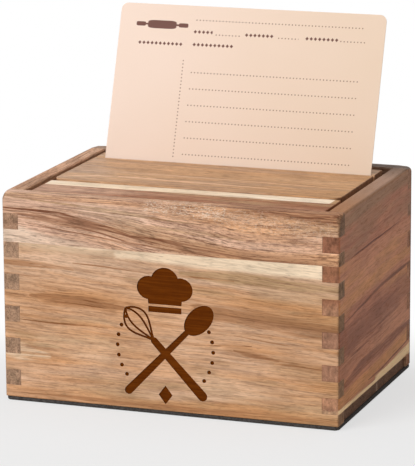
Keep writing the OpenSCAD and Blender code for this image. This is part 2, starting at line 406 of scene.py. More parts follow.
def edge_rub_and_painted_light_group():
    """A colour with another laid along the outer edges: a rub which, where pale, also paints a highlight on
    their rounding and, where dark, their shade.
    """
    inputs = {"Color": ["Color", "Rub"], "Float": ["Radius", "Strength"]}
    group, tree, have, give = new_group("edge_tint_rub_and_light", inputs, {"Color": ["Color"]})
    rounded = tree.put("Bevel", {"Radius": have["Radius"]}, samples=4).outputs[0]
    true_normal = tree.put("NewGeometry").outputs["Normal"]
    turn = tree.minus(1.0, tree.vector("DOT_PRODUCT", rounded, true_normal))
    edge_share = tree.times(tree.step(turn, 0.01, 0.22), have["Strength"])
    tree.feed(give["Color"], tree.blend(edge_share, have["Color"], have["Rub"]))
    return group


def printed_row_group():
    """A row of like marks printed on a card: dots at a Power of 2, lozenges at 1, bars well above 2."""
    inputs = {"Vector": ["Card", "Start"],
              "Float": ["Under", "Turn", "Length", "Pitch", "Half w", "Half h", "Power"]}
    group, tree, have, give = new_group("printed_row", inputs, {"Float": ["Ink"]})

    def reach(offset, half):
        share = tree.math("DIVIDE", tree.math("ABSOLUTE", offset), half)
        return tree.math("POWER", share, have["Power"])

    gone = tree.vector("SUBTRACT", have["Card"], have["Start"])
    laid = tree.put("VectorRotate", {"Vector": gone, "Angle": tree.times(have["Turn"], -1.0)},
                    rotation_type="Z_AXIS").outputs[0]
    along, off, _ = tree.split(laid)
    cell = tree.math("FLOORED_MODULO", along, have["Pitch"])
    beside = tree.minus(cell, tree.times(have["Pitch"], 0.5))
    reached = tree.plus(reach(beside, have["Half w"]), reach(off, have["Half h"]))
    inside = tree.step(reached, 0.8, 1.2, 1, 0)
    begun = tree.math("GREATER_THAN", along, 0.0)
    ended = tree.math("LESS_THAN", along, have["Length"])
    ink = tree.times(inside, tree.times(begun, ended))
    tree.feed(give["Ink"], tree.larger(have["Under"], ink))
    return group


GRAIN = board_grain_group()
STREAK = streak_group()
SAPWOOD = sapwood_group()
ACACIA = acacia_group()
EDGE_RUB_AND_PAINTED_LIGHT = edge_rub_and_painted_light_group()
PRINTED_ROW = printed_row_group()

# Wood colours, as they look in plain light
TAN = srgb(215, 176, 142)
ORANGE_TAN = srgb(203, 149, 101)
PINK_TAN = srgb(224, 184, 158)
OLIVE_TAN = srgb(188, 154, 116)
RED_BROWN = srgb(180, 122, 90)
DARK_BROWN = srgb(112, 66, 36)
DEEP_RED = srgb(104, 56, 36)
CREAM = srgb(243, 220, 188)
RUB_AND_PAINTED_HIGHLIGHT = srgb(214, 178, 150)
# Painted shade for the walls' rear edges
REAR_EDGE = srgb(68, 58, 52)
# End grain of the side boards, seen on the front, and of the front boards, seen on the sides
LEFT_END = srgb(150, 118, 96)
RIGHT_END = srgb(132, 90, 70)
FRONT_END = srgb(116, 86, 64)
# The right wall's colours
RIGHT_PALE = srgb(196, 132, 96)
RIGHT_WARM = srgb(174, 108, 78)
RIGHT_OLIVE = srgb(156, 112, 80)
RIGHT_ORANGE = srgb(200, 136, 84)
RIGHT_DEEP = srgb(110, 58, 34)
RIGHT_CREAM = srgb(255, 216, 164)
BACK_RIM = srgb(150, 116, 94)


@dataclass
class Vein:
    """A vein in a board's face, from start to end, each (along, up, half width) in mm."""
    start: tuple
    end: tuple
    strength: float
    strands: float
    softness: float


def vein_run(points, half_w, strength=0.8, strands=1.0, softness=0.45):
    """Veins joined end to end along some points, thinner towards both ends."""
    if len(points) == 2:
        (x0, z0), (x1, z1) = points
        points = [(x0, z0), ((x0 + x1) / 2, (z0 + z1) / 2), (x1, z1)]
    halves = [half_w * TAPER] + [half_w] * (len(points) - 2) + [half_w * TAPER]
    placed = [(x, z, half) for (x, z), half in zip(points, halves)]
    return [Vein(a, b, strength, strands, softness) for a, b in zip(placed, placed[1:])]


def patch(points, half_w, strength=0.8, softness=0.45):
    """A plain patch of colour along some points."""
    placed = [(x, z, half_w) for x, z in points]
    return [Vein(a, b, strength, 0.0, softness) for a, b in zip(placed, placed[1:])]


@dataclass
class Sap:
    """Pale sapwood beyond a line: its height at the middle, its rise per mm, and how it fades along."""
    at: float
    rise: float
    side: int
    softness: float = 1.5
    fade: float = 0.0
    strength: float = 1.0


@dataclass
class Wood:
    """One board's wood: how its grain turns and where in the log it was cut, in mm, its colours, how its
    grain runs, and the marks laid in. end_low is the end grain below END_CHANGES, rim the rim's tints, the
    dark last of which is painted shade, and edge the tint along its edges, a rub which also paints their
    highlight where pale and their shade where dark."""
    turn: tuple
    log: tuple
    pale: tuple = TAN
    warm: tuple = ORANGE_TAN
    cool: tuple = OLIVE_TAN
    deep: tuple = DARK_BROWN
    cream: tuple = CREAM
    end: tuple = RED_BROWN
    edge: tuple = RUB_AND_PAINTED_HIGHLIGHT
    end_low: tuple = None
    rim: tuple = ()
    lean: float = 0.0
    fan: float = 0.0
    dip: tuple = (0, 1, 0)
    dip_top: float = 0.0
    waver: float = 1.0
    contrast: float = 1.0
    flecks: tuple = (0.1, 0.1)
    drift: float = 0.0
    veins: list = field(default_factory=list)
    stains: list = field(default_factory=list)
    creams: list = field(default_factory=list)
    curls: list = field(default_factory=list)
    sap: Sap = None
    ior: float = WOOD_IOR


def streaked(tree, grain, veins, under=0.0):
    """The joint mask of some veins."""
    mask = under
    for vein in veins:
        (x0, z0, half0), (x1, z1, half1) = vein.start, vein.end
        mask = tree.use(STREAK, Under=mask, Placed=grain["Placed"], Figure=grain["Figure"],
                        Start=(x0, 0, z0), End=(x1, 0, z1), Half_at_start=half0, Half_at_end=half1,
                        Strength=vein.strength, Strands=vein.strands, Softness=vein.softness)["Mask"]
    return mask


def acacia_material(name, wood):
    """Oiled acacia for one board, with its own figure, veins and sapwood."""
    material, tree = new_material(name)
    place = tree.put("TexCoord").outputs
    facing_x, _, facing_up = tree.split(place["Normal"])
    grain = tree.use(GRAIN, Point=place["Object"], Normal=place["Normal"], Turn=wood.turn,
                     Log_place=wood.log, Lean=wood.lean, Fan=wood.fan, Dip=wood.dip, Dip_top=wood.dip_top,
                     Waver=wood.waver)
    pale = 0.0
    if wood.sap:
        pale = tree.use(SAPWOOD, Placed=grain["Placed"], Figure=grain["Figure"], Line_at=wood.sap.at,
                        Rise=wood.sap.rise, Side=wood.sap.side, Softness=wood.sap.softness,
                        Fade_along=wood.sap.fade, Strength=wood.sap.strength)["Mask"]
    # Painted shade on faces turned sideways near the rear
    sideways = tree.step(tree.math("ABSOLUTE", facing_x), *SIDEWAYS, 0, REAR_EDGE_SHADE)
    dark = tree.times(tree.step(tree.split(place["Object"])[1], *REAR_EDGE_SHADED), sideways)
    along, _, up = tree.split(grain["Placed"])
    fleck = tree.step(along, *FLECKS_CHANGE, *wood.flecks)
    end_tint = tree.blend(tree.step(up, *END_CHANGES), wood.end_low or wood.end, wood.end)
    look = tree.use(ACACIA, Figure=grain["Figure"], Placed=grain["Placed"], End=grain["End"],
                    Vein=streaked(tree, grain, wood.veins), Stain=streaked(tree, grain, wood.stains),
                    Sap=streaked(tree, grain, wood.creams, pale), Pale=wood.pale, Warm=wood.warm,
                    Cool=wood.cool, Deep=wood.deep, Cream=wood.cream, End_tint=end_tint,
                    Contrast=wood.contrast, Fleck=fleck, Curly=streaked(tree, grain, wood.curls),
                    Drift=wood.drift)
    # The tint along the edges: a rub, with a painted highlight on their rounding where pale and painted
    # shade where dark
    edge_tinted = tree.use(EDGE_RUB_AND_PAINTED_LIGHT, Color=look["Color"], Rub=wood.edge, Radius=RUB_REACH * MM, Strength=RUB)
    colour = tree.blend(dark, edge_tinted["Color"], REAR_EDGE)
    # Top faces take the rim's tints; the dark last one is painted shade at the rear right corner
    if wood.rim:
        upward = tree.step(facing_up, *UPWARD, 0, RIM_SHARE)
        tint = wood.rim[0]
        for change, following in zip(RIM_CHANGES, wood.rim[1:]):
            tint = tree.blend(tree.step(along, *change), tint, following)
        colour = tree.blend(upward, colour, tint)
    finish_surface(tree, colour, look["Roughness"], look["Height"], 0.35, 0.06, IOR=wood.ior)
    return material


# The boards' woods. Marks are placed in mm, along the grain from the box's middle, and up from the walls'
# foot or, on a flat board, back from the middle
FRONT_LOWER_WOOD = Wood(
    GRAIN_X, log=(310, 150, 120), pale=srgb(214, 177, 147), warm=srgb(200, 147, 102),
    cool=srgb(177, 144, 107), cream=srgb(236, 212, 182), end=FRONT_END, fan=0.0010, contrast=0.6,
    flecks=(0.18, 0.12), drift=0.0022,
    veins=[
        *vein_run([(-64, 46.9), (-52, 46.8), (-36, 45.8), (-18, 44)], 2.6, 0.95, 0.6),
        *patch([(-56, 46.4), (-26, 44.8)], 3.8, 0.32),
        *vein_run([(-95, 62), (-68, 61), (-44, 59.6)], 1.8, 0.5, 1.0, 0.7),
        *vein_run([(-95, 56), (-70, 56), (-52, 55.6)], 1.0, 0.5),
        *vein_run([(12, 47), (33, 44.3), (50, 42.6)], 1.5, 0.7),
        *vein_run([(34, 43.8), (60, 41.8), (95, 40.2)], 3.2, 0.66, 1.0, 1.0),
        *patch([(14, 46), (78, 41.2)], 4.4, 0.5),
        *vein_run([(-70, 35.4), (-28, 34.8)], 0.6, 0.8),
        *vein_run([(12, 30.6), (38, 31.9)], 0.5, 0.8),
        *vein_run([(30, 29.4), (40, 28.1), (50, 26.6)], 1.8, 0.72, 0.6, 0.8),
        *vein_run([(42, 27.4), (60, 25), (95, 22)], 1.8, 0.68, 1.0, 0.8),
        *patch([(28, 29.4), (78, 23.6)], 3.6, 0.2),
        *vein_run([(30, 36), (60, 33), (95, 32)], 0.6, 0.4),
        *vein_run([(-44, 62.8), (30, 60.2)], 0.9, 0.6),
        *vein_run([(-90, 53.2), (-30, 51)], 0.6, 0.45),
        *vein_run([(-95, 2), (95, 2)], 1.7, 0.45),
        *patch([(-90, 69.5), (-26, 68)], 2.2, 0.2),
    ],
    stains=[
        *vein_run([(6, 62), (30, 61.4), (50, 61), (90, 59.4)], 3.4, 1.0, 0.4),
        *patch([(40, 56.4), (78, 54.6)], 3.4, 0.4),
        *patch([(50, 25), (78, 21)], 4, 0.35),
        *vein_run([(-20, 58), (30, 54)], 1.8, 0.6),
        *vein_run([(-72, 26), (-50, 24)], 2.0, 0.6),
    ],
    creams=[
        *patch([(-56, 27), (-30, 24)], 7, 0.14),
        *vein_run([(-80, 21), (-70, 20.6), (-56, 19.6)], 4.2, 0.62),
        *patch([(16, 13), (78, 9)], 6, 0.18),
    ],
    sap=Sap(65.9, -0.031, 1, 2.4, 0.003, 0.88),
)

FRONT_UPPER_WOOD = Wood(
    GRAIN_X, log=(-140, 260, 30), pale=PINK_TAN, warm=srgb(212, 162, 122), cool=srgb(184, 148, 112),
    deep=DEEP_RED, cream=srgb(224, 200, 178), end=FRONT_END, dip=(-72, 46, 12), dip_top=92.5,
    flecks=(0.2, 0.28), drift=0.0045,
    veins=[
        *vein_run([(-95, 85.4), (-50, 84.3), (-31, 80.4), (-17, 76.6), (1, 75.8), (26, 73)],
                  0.7, 0.9, 0.5),
        *vein_run([(-95, 84.2), (-50, 82.4), (-31, 78.8), (-14, 75.2), (6, 74), (30, 71.9)],
                  2.8, 0.74, 1.0, 0.85),
        *vein_run([(-95, 82), (-50, 80.3), (-31, 76.6), (-17, 73.6), (0, 72.2), (26, 70)],
                  0.5, 0.8, 0.6),
        *vein_run([(18, 72.6), (46, 70.6), (66, 69.5)], 2.0, 0.72, 1.0, 0.8),
        *patch([(16, 73), (72, 70)], 2.8, 0.34),
        *patch([(-70, 80), (-32, 76)], 7, 0.1),
        *vein_run([(-66, 79), (-31, 74.6), (-4, 71)], 0.5, 0.7, 0.6),
        *vein_run([(14, 93), (52, 92), (80, 90), (95, 89)], 3.0, 0.86, 0.7, 0.6),
        *patch([(30, 92), (80, 90.6)], 3.6, 0.36),
    ],
    stains=[
        *vein_run([(-90, 91.6), (-46, 88.4), (-10, 86.4)], 0.5, 1.0, 0.3),
        *vein_run([(-64, 89.6), (-4, 85.2)], 0.45, 1.0, 0.3),
        *vein_run([(-46, 87.2), (16, 83.6)], 0.45, 1.0, 0.3),
        *vein_run([(-24, 82.2), (34, 78.8)], 1.4, 0.7),
    ],
    creams=patch([(-38, 87), (-12, 85.4)], 4, 0.2),
    # Pale glints where the grain curls: a painted highlight
    curls=[*patch([(-8, 90), (24, 89)], 3.6, 1.2), *patch([(24, 88), (72, 84)], 5, 0.5)],
    sap=Sap(64.5, -0.18, -1, 2.4, -0.010, 0.1),
)

BACK_LOWER_WOOD = Wood(
    GRAIN_X, log=(-420, 90, -260), warm=RED_BROWN, end=srgb(150, 98, 72), fan=-0.001,
    veins=[*vein_run([(-78, 24), (10, 30)], 3.0, 0.7), *vein_run([(0, 52), (78, 49)], 1.6, 0.7)],
)

BACK_UPPER_WOOD = Wood(
    GRAIN_X, log=(520, -110, 340), pale=srgb(186, 160, 142), warm=srgb(170, 136, 114),
    # The rim's top darkens toward its right end: painted shade at the rear right corner
    end=srgb(150, 106, 80), rim=(BACK_RIM, BACK_RIM, srgb(66, 54, 48)),
    veins=vein_run([(-40, 84), (78, 81)], 2.2, 0.8),
)


def right_wood(log, **marks):
    """The red-brown wood of the right wall."""
    # Its edges take the deep red-brown, a rub which also paints shade on their rounding
    return Wood(GRAIN_Y, log=log, pale=RIGHT_PALE, warm=RIGHT_WARM, deep=RIGHT_DEEP, cream=RIGHT_CREAM,
                end=RIGHT_END, edge=RIGHT_DEEP, lean=0.03, contrast=0.42, **marks)


RIGHT_LOWER_WOOD = right_wood(
    (80, 500, -150), cool=RIGHT_ORANGE, end_low=srgb(160, 121, 98),
    veins=[
        *vein_run([(-56, 42.6), (-15, 46), (6, 48), (37, 48.6), (56, 49)], 0.9, 0.9, 0.3),
        *patch([(-56, 33), (4, 36.2)], 8, 0.66, 0.7),
        *patch([(4, 36.2), (32, 37.2)], 7.4, 0.48, 0.8),
        *patch([(32, 37.2), (56, 38)], 6.2, 0.3, 0.8),
        *patch([(-54, 22), (-12, 27)], 4.5, 0.22),
        *vein_run([(6, 38.4), (30, 40)], 0.9, 0.7),
        *vein_run([(-10, 30.8), (37, 33.4)], 1.0, 0.8),
        *vein_run([(-44, 34.6), (-20, 35.4)], 0.9, 0.8),
        *vein_run([(-38, 26.6), (-12, 27.4)], 0.9, 0.8),
        *vein_run([(-56, 15), (-23, 19), (6, 19.4), (56, 20.6)], 3.2, 0.7, 0.6),
        *vein_run([(-12, 9.6), (7, 9.6), (56, 12.6)], 0.6, 0.85, 0.2),
    ],
    stains=[
        *patch([(-56, 51), (-9, 53), (13, 54), (56, 55)], 3.0, 0.75),
        *patch([(-56, 10.4), (-8, 11.8), (56, 15.6)], 3.4, 0.95),
    ],
    creams=[*patch([(-60, 5.6), (0, 5.9)], 1.4, 1.0, 0.4), *patch([(0, 5.9), (56, 8)], 2.9, 1.0, 0.4)],
)

RIGHT_UPPER_WOOD = right_wood(
    (340, 70, 420), cool=RIGHT_OLIVE,
    # The rim's top: tan at the front, greyer behind, and dark at the rear end as painted shade
    rim=(srgb(170, 122, 88), srgb(166, 134, 114), srgb(106, 90, 78)),
    veins=[
        *vein_run([(-56, 77.6), (-36, 76.2), (-2, 75.8), (30, 76)], 1.5, 0.36),
        *patch([(30, 80), (60, 76)], 6.0, 0.14),
        *vein_run([(-50, 69.2), (-29, 70.2), (13, 70.6), (34, 70.6)], 0.45, 0.95, 0.2),
        *vein_run([(-42, 68.6), (-24, 69)], 0.35, 0.9, 0.2),
    ],
    stains=[*patch([(-60, 87.4), (5, 89), (56, 89)], 3.8, 1.0), *patch([(-60, 92), (60, 92)], 2.0, 1.0)],
)

LEFT_LOWER_WOOD = Wood(
    GRAIN_Y, log=(-260, -430, 70), pale=srgb(206, 158, 124), warm=srgb(188, 134, 96),
    end=srgb(154, 126, 104),
    veins=[
        *vein_run([(-90, 40), (0, 43), (90, 46)], 2.4, 0.75),
        *vein_run([(-20, 20), (60, 26)], 1.6, 0.7),
        *vein_run([(-80, 12), (-10, 14)], 1.2, 0.6),
    ],
    creams=patch([(10, 56), (80, 60)], 4, 0.35),
)

LEFT_UPPER_WOOD = Wood(
    GRAIN_Y, log=(-190, 380, -240), pale=srgb(212, 168, 136), warm=srgb(192, 142, 108),
    cool=srgb(178, 142, 112), end=LEFT_END,
    veins=[
        *vein_run([(-90, 78), (0, 80), (90, 84)], 1.8, 0.75),
        *vein_run([(-40, 88), (20, 89)], 0.9, 0.6),
    ],
)

BASE_WOOD = Wood(
    GRAIN_X_FLAT, log=(60, -300, 150), pale=srgb(150, 108, 80), warm=srgb(124, 82, 58),
    cool=srgb(112, 88, 68), deep=srgb(62, 40, 28), cream=srgb(255, 220, 190),
    end=srgb(104, 74, 54), contrast=1.4,
    creams=patch([(66, 4), (84, 4)], 1.4, 1.0),
)

RAIL_FRONT_WOOD = Wood(
    GRAIN_X_FLAT, log=(200, 330, -70), pale=srgb(204, 161, 133), warm=srgb(164, 108, 76),
    deep=DEEP_RED, drift=0.005,
)

RAIL_REAR_WOOD = Wood(
    GRAIN_X_FLAT, log=(-90, 410, 220), pale=srgb(253, 234, 210), warm=srgb(244, 220, 190),
    cool=srgb(180, 140, 102), deep=srgb(196, 156, 116), contrast=0.5,
    stains=patch([(67, -36), (67, -16)], 2.6, 1.0, 0.15),
)

LID_WOOD = Wood(
    GRAIN_X_FLAT, log=(130, -220, -310), pale=srgb(208, 166, 128), warm=srgb(188, 141, 97),
    cool=srgb(176, 142, 116), deep=srgb(130, 88, 56), cream=srgb(232, 194, 162),
    end=srgb(150, 106, 78), lean=-0.02, waver=0.5, contrast=0.8, drift=0.0045, ior=1.32,
    veins=vein_run([(-66, -19), (66, -20)], 1.2, 0.3),
    # The two broad greyer streaks over its left paint the backdrop's reflection there
    stains=[
        *vein_run([(-90, -4), (-44, -4)], 3.5, 0.9, 0.5),
        *vein_run([(-90, 10), (-40, 8)], 3.5, 0.8),
        *vein_run([(-36, -18), (0, -19)], 1.2, 0.8),
    ],
    creams=[
        *vein_run([(-90, -1.6), (-29, 0.4), (20, -1), (66, -3)], 1.3, 0.6, 0.3),
        *vein_run([(-74, -20), (-50, -10), (-30, -9), (0, -10.5), (46, -13)], 1.5, 0.65, 0.3),
    ],
)


def burnt_material():
    """The scorched floor and walls of the carving."""
    material, tree = new_material("burnt_wood")
    in_mm = tree.place_in_mm()
    thread = tree.noise(in_mm, (0.06, 1.0, 1.6), 3, 0.6)
    soot = tree.noise(in_mm, (0.25, 0.3, 0.3), 3, 0.6)
    colour = tree.blend(tree.step(thread, 0.35, 0.7), srgb(90, 40, 2), srgb(106, 52, 6))
    colour = tree.tone(colour, tree.times_plus(soot, 0.4, 0.8))
    roughness = tree.times_plus(soot, 0.2, 0.7)
    finish_surface(tree, colour, roughness, thread, 0.4, 0.08, IOR=1.12)
    return material


def shadow_pad_material():
    """A dark grey pad, matted and a little fuzzy, put where the box's contact shadow falls: a painted
    shadow.
    """
    material, tree = new_material("felt_pad")
    in_mm = tree.place_in_mm()
    mat = tree.noise(in_mm, (0.9, 0.9, 1.4), 4, 0.7)
    hair = tree.noise(in_mm, (3.0, 3.0, 3.0), 3, 0.6, output="Color")
    fibre = tree.noise(tree.vector("ADD", in_mm, tree.scale(hair, 0.6)), (4.0, 4.0, 5.0), 2, 0.6)
    colour = tree.blend(tree.step(mat, 0.35, 0.65), srgb(58, 54, 51), srgb(82, 78, 76))
    colour = tree.tone(colour, tree.times_plus(fibre, 0.8, 0.6))
    height = tree.times_plus(mat, 0.6, fibre)
    roughness = tree.times_plus(fibre, 0.1, 0.88)
    finish_surface(tree, colour, roughness, height, 0.6, 0.15, IOR=1.2)
    return material


def steel_material():
    """Drawn steel rod, with fine lines along it and duller spots."""
    material, tree = new_material("pin_steel")
    in_mm = tree.place_in_mm()
    drawn = tree.noise(in_mm, (0.15, 6.0, 6.0), 3, 0.6)
    dulled = tree.noise(in_mm, (0.4, 0.4, 0.4), 3, 0.6)
    colour = tree.blend(dulled, srgb(200, 198, 194), srgb(158, 154, 148))
    roughness = tree.times_plus(drawn, 0.2, 0.22)
    finish_surface(tree, colour, roughness, drawn, 0.3, 0.01, Metallic=1.0)
    return material


# The card: its lean, how far its groove's mouth is from the lid's rear edge, how deep the groove is and how
# far the card is off the middle, in mm
CARD_LEAN = math.radians(19.3)
GROOVE_SETBACK, GROOVE_DEPTH, CARD_SHIFT = 15.2, 3.9, 1.4

# The marks printed on the card, in mm across from its middle and up from its foot
DOT_PITCH, DOT_R = 1.58, 0.31
RULE_LEFT, RULE_RIGHT = -27.0, 54.0
RULES, LOWEST_RULE, RULE_PITCH = 6, 7.6, 7.55
TITLE_RULE = 69.6
SHORT_RULES = [(-17.0, 12.2), (13.0, 10.2), (42.4, 12.4)]
SHORT_RULE_UP = 63.2
DIVIDER_X, DIVIDER_LOW, DIVIDER_H = -30.7, 5.6, 45.3
LABELS = [(-27.4, 64.2, 9.4), (-2.6, 63.9, 14.0), (26.2, 63.7, 15.8),
          (-53.8, 58.1, 21.8), (-27.3, 58.3, 20.2)]
LABEL_PITCH, LABEL_HALF_W, LABEL_HALF_H = 2.0, 0.78, 0.85
# The rolling pin's barrel, grips and axle: start, length and half height
ROLLING_PIN_UP = 66.8
ROLLING_PIN = [(-50.0, 14.4, 1.9), (-55.6, 5.0, 1.0), (-34.9, 5.0, 1.0), (-54.0, 22.4, 0.42)]


def card_material():
    """Smooth peach card with dotted rules, rows of lozenges and a rolling pin printed on its front."""
    material, tree = new_material("card_stock")
    facing_y = tree.split(tree.put("TexCoord").outputs["Normal"])[1]
    _, lid_rear, lid_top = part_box("lid_board")[1] / MM
    mouth = (CARD_SHIFT, lid_rear - GROOVE_SETBACK, lid_top)
    at = tree.vector("SUBTRACT", tree.place_in_mm(), mouth)
    upright = tree.put("VectorRotate", {"Vector": at, "Angle": CARD_LEAN - math.pi / 2},
                       rotation_type="X_AXIS").outputs[0]
    card = tree.vector("MULTIPLY", tree.vector("ADD", upright, (0, GROOVE_DEPTH, 0)), (1, 1, 0))

    def dotted(across, up, length, turn=0.0):
        return tree.use(PRINTED_ROW, Under=ink, Card=card, Start=(across, up, 0), Turn=turn, Length=length,
                        Pitch=DOT_PITCH, Half_w=DOT_R, Half_h=DOT_R, Power=2.0)["Ink"]

    ink = bold = 0.0
    for i in range(RULES):
        ink = dotted(RULE_LEFT, LOWEST_RULE + i * RULE_PITCH, RULE_RIGHT - RULE_LEFT)
    ink = dotted(RULE_LEFT, TITLE_RULE, RULE_RIGHT - RULE_LEFT)
    for across, length in SHORT_RULES:
        ink = dotted(across, SHORT_RULE_UP, length)
    ink = dotted(DIVIDER_X, DIVIDER_LOW, DIVIDER_H, math.pi / 2)
    for across, up, length in LABELS:
        bold = tree.use(PRINTED_ROW, Under=bold, Card=card, Start=(across, up, 0), Length=length,
                        Pitch=LABEL_PITCH, Half_w=LABEL_HALF_W, Half_h=LABEL_HALF_H, Power=1.0)["Ink"]
    for across, length, half_h in ROLLING_PIN:
        bold = tree.use(PRINTED_ROW, Under=bold, Card=card, Start=(across, ROLLING_PIN_UP, 0), Length=length,
                        Pitch=length, Half_w=length / 2 - 0.2, Half_h=half_h, Power=5.0)["Ink"]

    front = tree.step(facing_y, *FRONTWARD, 1, 0)
    fibre = tree.noise(card, (1.2, 1.2, 1.2), 4, 0.7)
    cloud = tree.noise(card, (0.03, 0.03, 0.03), 2, 0.5)
    # Pinker on the left, darker and yellower toward the right: the card's tint with painted shade away from
    # the key lamp, and random clouds
    tint_and_shade_across = tree.plus(tree.step(tree.split(card)[0], -70, 70, 0, 0.8),
                       tree.times(tree.minus(cloud, 0.5), 0.4))
    paper = tree.blend(tint_and_shade_across, srgb(243, 219, 202), srgb(233, 207, 182))
    paper = tree.tone(paper, tree.times_plus(fibre, 0.05, 0.975))
    for printed, strength, colour in ((ink, 0.8, srgb(126, 80, 58)), (bold, 0.95, srgb(98, 52, 42))):
        share = tree.times(tree.times(printed, front), strength)
        paper = tree.blend(share, paper, colour)
    roughness = tree.times_plus(fibre, 0.15, 0.62)
    finish_surface(tree, paper, roughness, fibre, 0.15, 0.03, IOR=1.4)
    return material


def floor_material():
    """Pale floor that fades into the white backdrop away from the box's front."""
    material, tree = new_material("pale_floor")
    place = tree.put("TexCoord").outputs["Object"]
    flat = tree.vector("MULTIPLY", place, (1, 1, 0))
    away = tree.vector("LENGTH", tree.vector("SUBTRACT", flat, FADE_ABOUT))
    cloud = tree.noise(place, (3, 3, 3), 2, 0.5)
    tone = tree.tone(srgb(*FLOOR_TONE), tree.times_plus(cloud, 0.02, 0.99))
    shader = tree.put("BsdfDiffuse", {"Color": tone})
    far = tree.step(away, FADE_FROM, FADE_TO)
    white = tree.put("Emission", {"Color": tree.blend(far, (NEAR_LEVEL,) * 3 + (1,), (1, 1, 1, 1))})
    share = tree.times_plus(far, 1 - NEAR_SHARE, NEAR_SHARE)
    share = tree.times(share, tree.seen())
    finish_with(tree, tree.put("MixShader", {0: share, 1: shader.outputs[0], 2: white.outputs[0]}))
    return material


def make_camera():
    data = bpy.data.cameras.new("camera")
    data.sensor_width = SENSOR_MM
    data.lens = CAMERA_FOCAL_PX * SENSOR_MM / PICTURE_H_PX
    data.clip_start, data.clip_end = CAMERA_NEAR, CAMERA_FAR
    camera = bpy.data.objects.new("camera", data)
    camera.location = CAMERA_AT
    camera.rotation_euler = [math.radians(turn) for turn in CAMERA_TURN]
    bpy.context.scene.collection.objects.link(camera)
    bpy.context.scene.camera = camera


def make_lamp(name, at, size, watts):
    data = bpy.data.lights.new(name, "AREA")
    data.shape, data.size, data.energy = "SQUARE", size, watts
    lamp = bpy.data.objects.new(name, data)
    lamp.location = at
    lamp.rotation_euler = (Vector(AIM) - Vector(at)).to_track_quat("-Z", "Y").to_euler()
    bpy.context.scene.collection.objects.link(lamp)


def make_world():
    """A white backdrop for what looks at it, and a plain room for what it lights."""
    world = bpy.data.worlds.new("studio")
    bpy.context.scene.world = world
    world.use_nodes = True
    world.node_tree.nodes.clear()
    tree = Tree(world.node_tree)
    level = tree.step(tree.seen(), 0, 1, ROOM_LEVEL, 1)
    light = tree.put("Background", {"Color": (1, 1, 1, 1), "Strength": level})
    tree.feed(tree.put("OutputWorld").inputs["Surface"], light.outputs[0])


def make_floor():
    work = bmesh.new()
    bmesh.ops.create_circle(work, cap_ends=True, segments=FLOOR_SIDES, radius=FLOOR_R)
    bmesh.ops.translate(work, verts=work.verts, vec=(0, 0, FLOOR_Z))
    floor = piece_from(work, "floor", floor_material())


def piece_from(work, name, material):
    """An object from a bmesh, with its material, linked to the scene."""
    mesh = bpy.data.meshes.new(name)
    work.to_mesh(mesh)
    work.free()
    mesh.materials.append(material)
    piece = bpy.data.objects.new(name, mesh)
    bpy.context.scene.collection.objects.link(piece)
    return piece


def welded(node):
    """A node's mesh as a bmesh with whole flat faces."""
    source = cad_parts[node].data
    plain = bpy.data.meshes.new("plain")
    plain.from_pydata([v.co for v in source.vertices], [], [p.vertices[:] for p in source.polygons])
    work = bmesh.new()
    work.from_mesh(plain)
    bpy.data.meshes.remove(plain)
    bmesh.ops.remove_doubles(work, verts=work.verts, dist=WELD)
    bmesh.ops.dissolve_limit(work, angle_limit=FLAT_ANGLE, verts=work.verts, edges=work.edges)
    return work


def ease_edges(work, width):
    """Rounds every sharp edge over by width, in mm."""
    sharp = [e for e in work.edges if len(e.link_faces) == 2 and e.calc_face_angle() > EASED_ANGLE]
    bmesh.ops.bevel(work, geom=sharp, offset=width * MM, segments=2, profile=0.5, affect="EDGES",
                    clamp_overlap=True)


def sand_corners(work):
    """Sands the rim's outer corners round, by cuts that all touch a ball set into the corner."""
    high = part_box("back_upper_board")[1]
    radius = CORNER_ROUND * MM
    for side, end, turn, rise in product((-1, 1), (-1, 1), CORNER_TURNS, CORNER_RISES):
        ball = Vector((side * (high.x - radius), end * (high.y - radius), high.z - radius))
        turn_by, rise_by = math.radians(turn), math.radians(rise)
        outward = Vector((side * math.cos(turn_by) * math.cos(rise_by),
                          end * math.sin(turn_by) * math.cos(rise_by), math.sin(rise_by)))
        slice_off(work, ball + outward * radius, outward)


def slice_off(work, at, outward):
    """Cuts off what lies beyond a plane and closes the cut."""
    everything = work.verts[:] + work.edges[:] + work.faces[:]
    cut = bmesh.ops.bisect_plane(work, geom=everything, plane_co=at, plane_no=outward, clear_outer=True)
    rim = [e for e in cut["geom_cut"] if isinstance(e, bmesh.types.BMEdge)]
    if rim:
        bmesh.ops.edgenet_fill(work, edges=rim)


def smooth(piece):
    """Smooth over the rounded edges, with the flat faces left flat."""
    piece.data.shade_smooth()
    piece.data.set_sharp_from_angle(angle=SHARP_ANGLE)
    weighted = piece.modifiers.new("flat_faces", "WEIGHTED_NORMAL")
    weighted.keep_sharp = True


def finished(node, material, ease):
    """A finished piece in a node's place."""
    work = welded(node)
    if node.endswith("upper_board"):
        sand_corners(work)
    ease_edges(work, ease)
    piece = piece_from(work, node + "_finished", material)
    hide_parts(node)
    return piece


def board(node, wood, ease):
    """A finished board, in acacia of its own."""
    return finished(node, acacia_material(node + "_acacia", wood), ease)


def settle(piece, body):
    smooth(piece)
    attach(piece, body)


# The carving on the front: its middle and its depth, in mm, and the sides of a whole round
CARVING_AT = (-1.5, FOOT + 34.0)
CARVING_DEPTH = 0.4
CARVING_STEPS = 32

# The whisk's wires: how far out each swells as a share of the widest, its half width in mm, and the powers
# that set how late its swell comes and how pointed it is
WIRE_SWELLS, WIRE_HALF_W = (-1.0, -0.45, 0.45, 1.0), 0.45
SWELL_LATE, SWELL_POINTED = 1.5, 0.8

